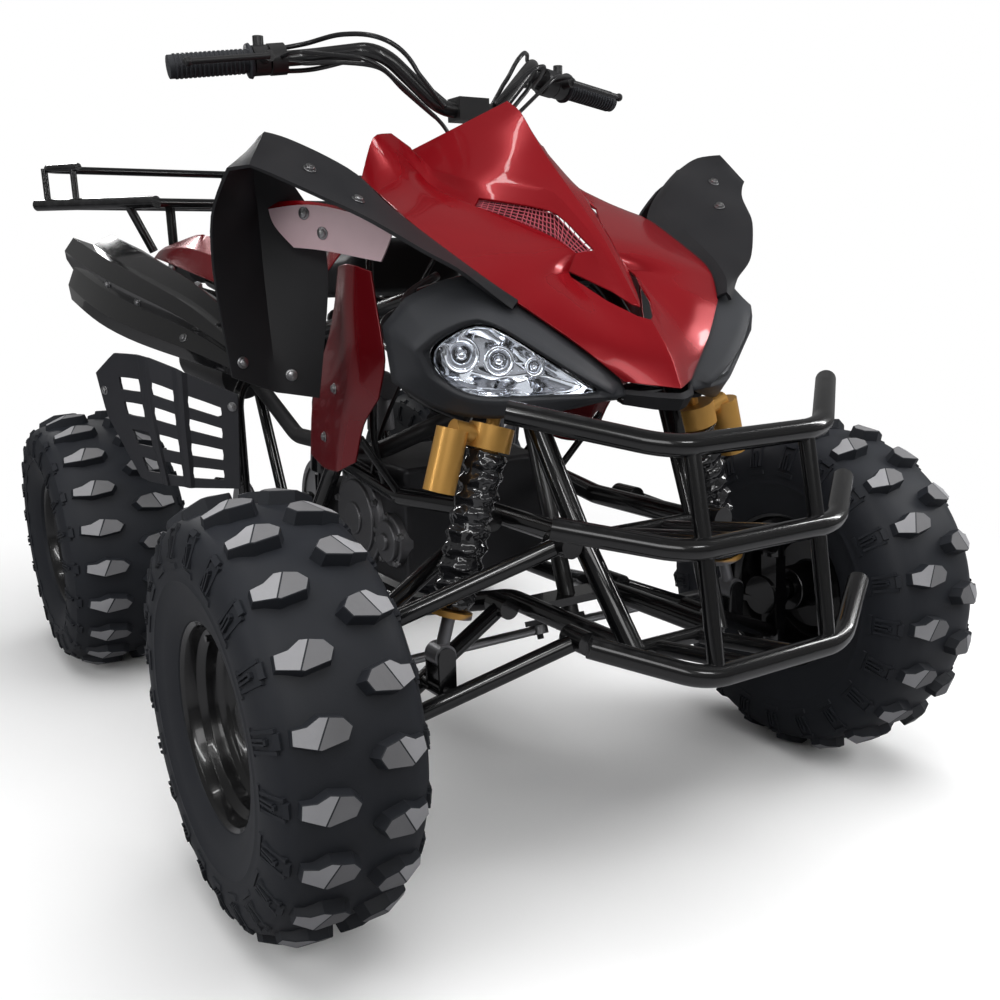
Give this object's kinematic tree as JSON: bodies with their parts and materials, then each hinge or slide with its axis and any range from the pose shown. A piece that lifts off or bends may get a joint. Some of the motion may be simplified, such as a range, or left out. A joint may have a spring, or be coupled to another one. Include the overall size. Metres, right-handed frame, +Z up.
{
  "type": "sports quad bike",
  "caption": "Sports quad bike with open tube frame, faceted nose, tube bumper, knobbly tyres, double front arms and a rear carrier rack.",
  "frame": {"origin": "On the ground under the middle of the machine's bounding box.", "axes": "+Z up, the machine's front faces -Y, and the rider's left hand is +X."},
  "size_m": [1.16, 1.8114, 1.1464],
  "materials": {
    "frame_black": "gloss",
    "rim_black": "gloss",
    "tyre_rubber": "matte",
    "engine_metal": "satin",
    "exhaust_metal": "satin",
    "damper_gold": "satin",
    "spring_black": "gloss",
    "plain_steel": "satin",
    "body_red": "gloss",
    "body_black": "matte",
    "tail_black": "gloss",
    "grille_mesh": "satin",
    "seat_cover": "matte",
    "lamp_clear": "gloss",
    "lamp_bright": "mirror",
    "tail_red": "gloss",
    "bar_black": "satin",
    "grip_rubber": "matte",
    "control_black": "satin",
    "cable_black": "satin"
  },
  "bodies": {
    "chassis": {"main_frame": "frame_black", "engine_block": "engine_metal", "exhaust": "exhaust_metal", "front_bumper": "frame_black", "upper_arms": "frame_black", "lower_arms": "frame_black", "front_shocks": "damper_gold", "front_springs": "spring_black", "rear_shock": "spring_black", "swingarm": "frame_black", "drive_chain": "plain_steel", "seat": "seat_cover", "nose_cover": "body_red", "nose_grille": "grille_mesh", "tank_cover": "body_red", "front_fender_left": "body_black", "front_fender_right": "body_black", "fender_liners": "body_red", "side_panels": "body_red", "rear_fenders": "tail_black", "foot_guard_left": "body_black", "foot_guard_right": "body_black", "headlight_housings": "body_black", "headlight_lenses": "lamp_clear", "headlight_reflectors": "lamp_bright", "rear_rack": "frame_black", "tail_light": "tail_red"},
    "steering": {"steering_stem": "bar_black", "handlebar": "bar_black", "grips": "grip_rubber", "control_levers": "control_black", "control_cables": "cable_black"},
    "knuckle_left": {"knuckle_left": "frame_black"},
    "tie_rod_left": {"tie_rod_left": "plain_steel"},
    "wheel_front_left": {"tyre_front_left": "tyre_rubber", "rim_front_left": "rim_black"},
    "knuckle_right": {"knuckle_right": "frame_black"},
    "tie_rod_right": {"tie_rod_right": "plain_steel"},
    "wheel_front_right": {"tyre_front_right": "tyre_rubber", "rim_front_right": "rim_black"},
    "rear_axle": {"rear_axle": "plain_steel", "rim_rear_left": "rim_black", "rim_rear_right": "rim_black", "tyre_rear_left": "tyre_rubber", "tyre_rear_right": "tyre_rubber"}
  },
  "joints": [
    {"name": "steering", "type": "hinge", "parent": "chassis", "child": "steering", "pos_m": [0, -0.48475, 0.3], "axis": [0, 0.3396, 0.9406], "range_deg": [-38, 38]},
    {"name": "knuckle_left", "type": "hinge", "parent": "chassis", "child": "knuckle_left", "pos_m": [0.385, -0.52975, 0.215], "axis": [-0.0688, 0, 0.9976], "range_deg": [-30.65, 30.65]},
    {"name": "tie_rod_left", "type": "hinge", "parent": "steering", "child": "tie_rod_left", "pos_m": [0.024, -0.4302, 0.2803], "axis": [-0.0012, 0.3192, 0.9477], "range_deg": [-41.84, 41.84]},
    {"name": "wheel_front_left", "type": "hinge", "parent": "knuckle_left", "child": "wheel_front_left", "pos_m": [0.485, -0.51475, 0.27859], "axis": [1, 0, 0], "continuous": true},
    {"name": "knuckle_right", "type": "hinge", "parent": "chassis", "child": "knuckle_right", "pos_m": [-0.385, -0.52975, 0.215], "axis": [0.0688, 0, 0.9976], "range_deg": [-30.65, 30.65]},
    {"name": "tie_rod_right", "type": "hinge", "parent": "steering", "child": "tie_rod_right", "pos_m": [-0.024, -0.4302, 0.2803], "axis": [0.0012, 0.3192, 0.9477], "range_deg": [-41.84, 41.84]},
    {"name": "wheel_front_right", "type": "hinge", "parent": "knuckle_right", "child": "wheel_front_right", "pos_m": [-0.485, -0.51475, 0.27859], "axis": [1, 0, 0], "continuous": true},
    {"name": "rear_axle", "type": "hinge", "parent": "chassis", "child": "rear_axle", "pos_m": [0, 0.63725, 0.26961], "axis": [1, 0, 0], "continuous": true}
  ],
  "couplings": [
    {"joint": "knuckle_left", "follows": "steering", "ratio": 0.80656},
    {"joint": "tie_rod_left", "follows": "steering", "ratio": -1.1009},
    {"joint": "knuckle_right", "follows": "steering", "ratio": 0.80656},
    {"joint": "tie_rod_right", "follows": "steering", "ratio": -1.1009}
  ]
}
